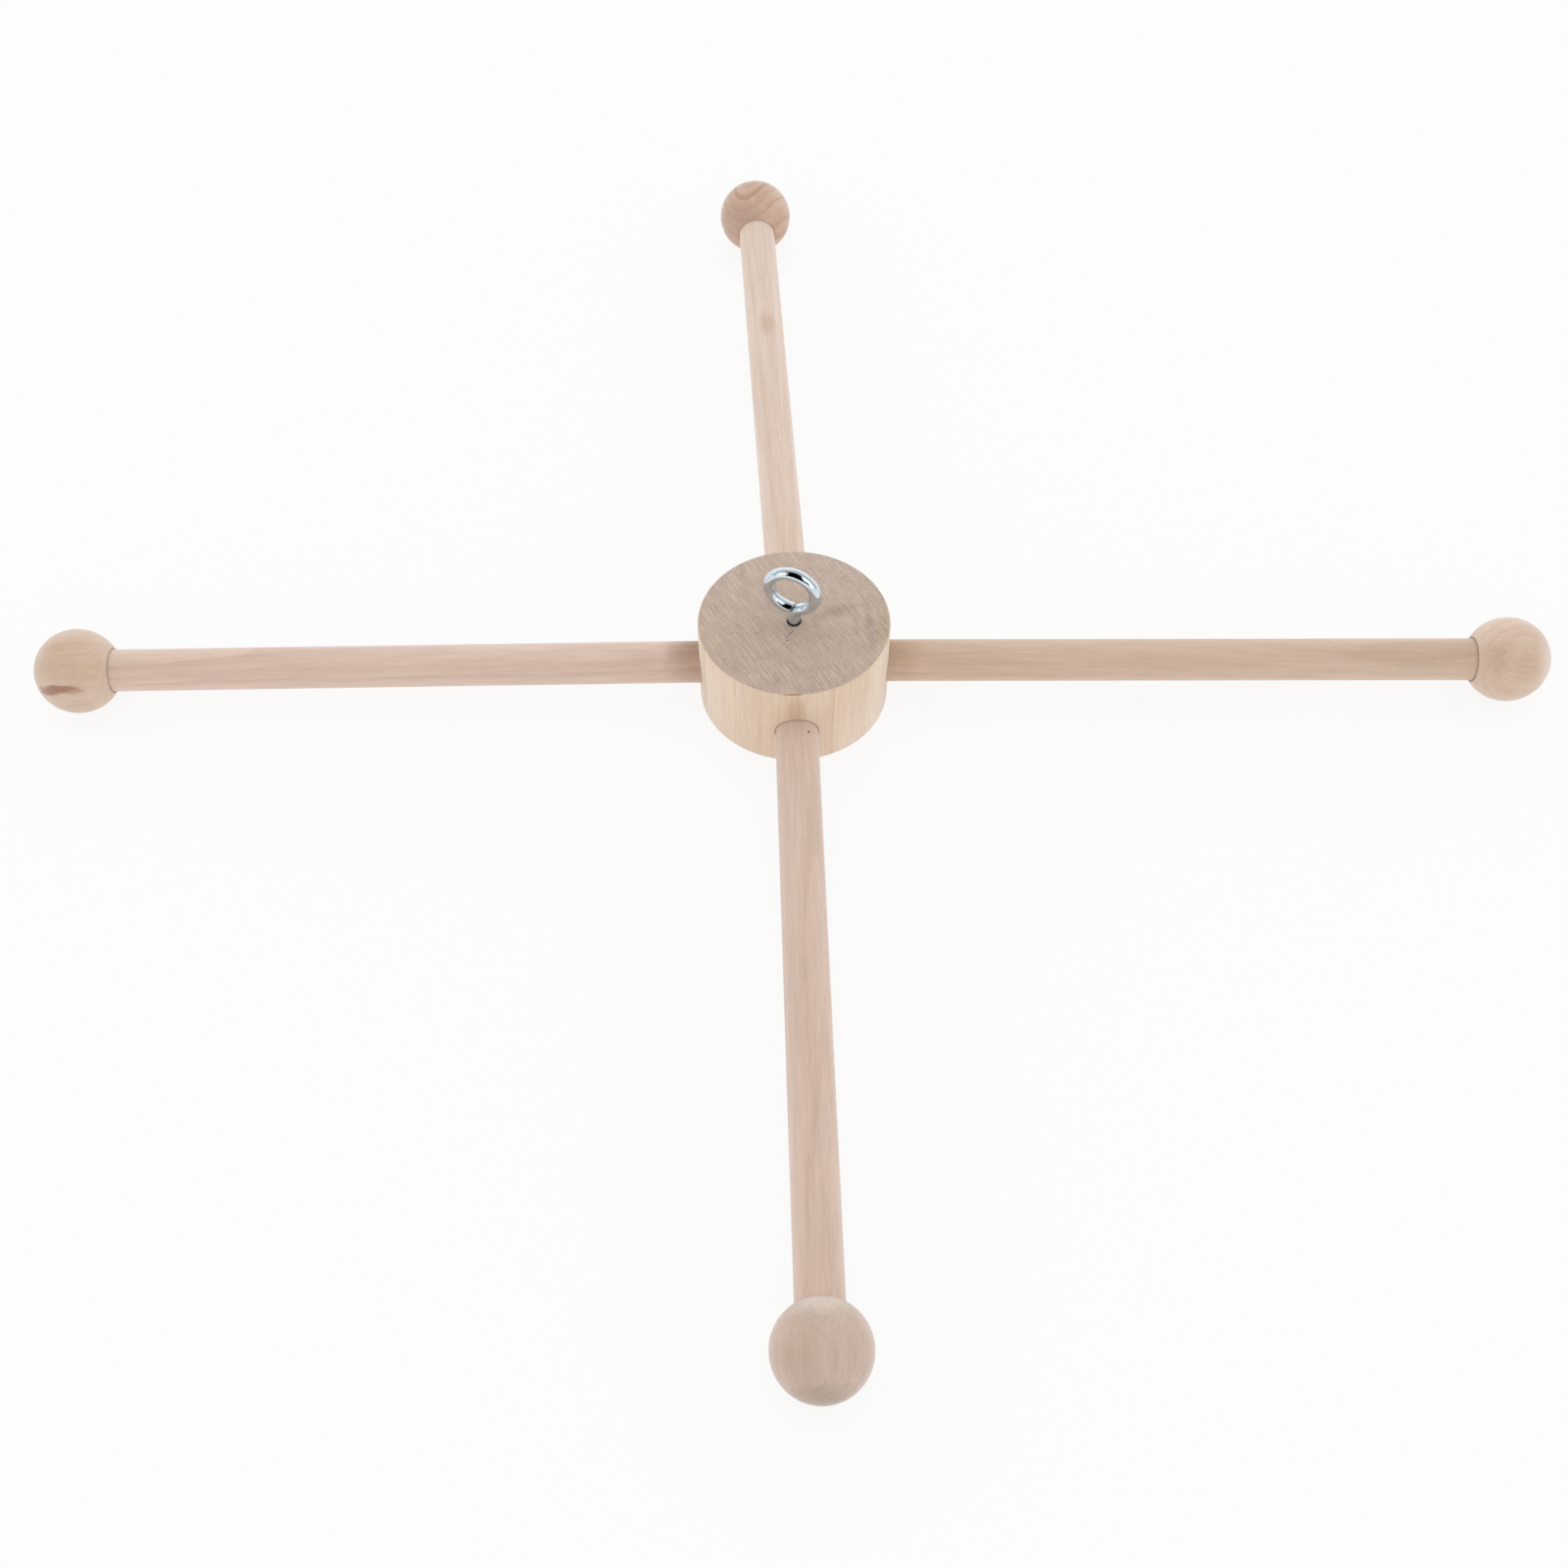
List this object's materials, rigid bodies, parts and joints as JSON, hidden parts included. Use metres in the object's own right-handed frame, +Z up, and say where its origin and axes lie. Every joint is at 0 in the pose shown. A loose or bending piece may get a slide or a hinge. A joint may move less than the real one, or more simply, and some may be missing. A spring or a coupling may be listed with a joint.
{
  "type": "hanging mobile frame",
  "caption": "Cross-shaped wooden frame for a hanging mobile: round hub with a metal screw eye on top, and plug-in round arms that each end in a ball.",
  "frame": {"origin": "centre of the hub's base, which is level with the lowest point of all four balls", "axes": "+Z up along the hub's axis and the screw eye's shank, -Y outwards along the front arm, +X to the side of the right arm"},
  "size_m": [0.3599, 0.3599, 0.041],
  "materials": {
    "hub_wood": "bare sanded beech, matt; saw marks on the end grain of the top face",
    "dowel_wood": "bare sanded beech dowel, matt, with long fine grain",
    "ball_wood": "bare turned beech, matt to faint sheen, with growth rings",
    "plated_steel": "bright zinc-plated bent wire"
  },
  "bodies": {
    "hub": {"hub": "hub_wood"},
    "eye": {"screw_eye": "plated_steel"},
    "right_arm": {"right_dowel": "dowel_wood", "right_ball": "ball_wood"},
    "back_arm": {"back_dowel": "dowel_wood", "back_ball": "ball_wood"},
    "left_arm": {"left_dowel": "dowel_wood", "left_ball": "ball_wood"},
    "front_arm": {"front_dowel": "dowel_wood", "front_ball": "ball_wood"}
  },
  "joints": [
    {"name": "eye_turn", "type": "hinge", "parent": "hub", "child": "eye", "pos_m": [0, 0, 0.024], "axis": [0, 0, 1], "range_deg": [-90, 90]},
    {"name": "right_arm_pull", "type": "slide", "parent": "hub", "child": "right_arm", "axis": [0.9997, -0.0262, 0], "range_m": [0, 0.015]},
    {"name": "back_arm_pull", "type": "slide", "parent": "hub", "child": "back_arm", "axis": [-0.0349, 0.9994, 0], "range_m": [0, 0.015]},
    {"name": "left_arm_pull", "type": "slide", "parent": "hub", "child": "left_arm", "axis": [-1, 0.0087, 0], "range_m": [0, 0.015]},
    {"name": "front_arm_pull", "type": "slide", "parent": "hub", "child": "front_arm", "axis": [0, -1, 0], "range_m": [0, 0.015]}
  ]
}
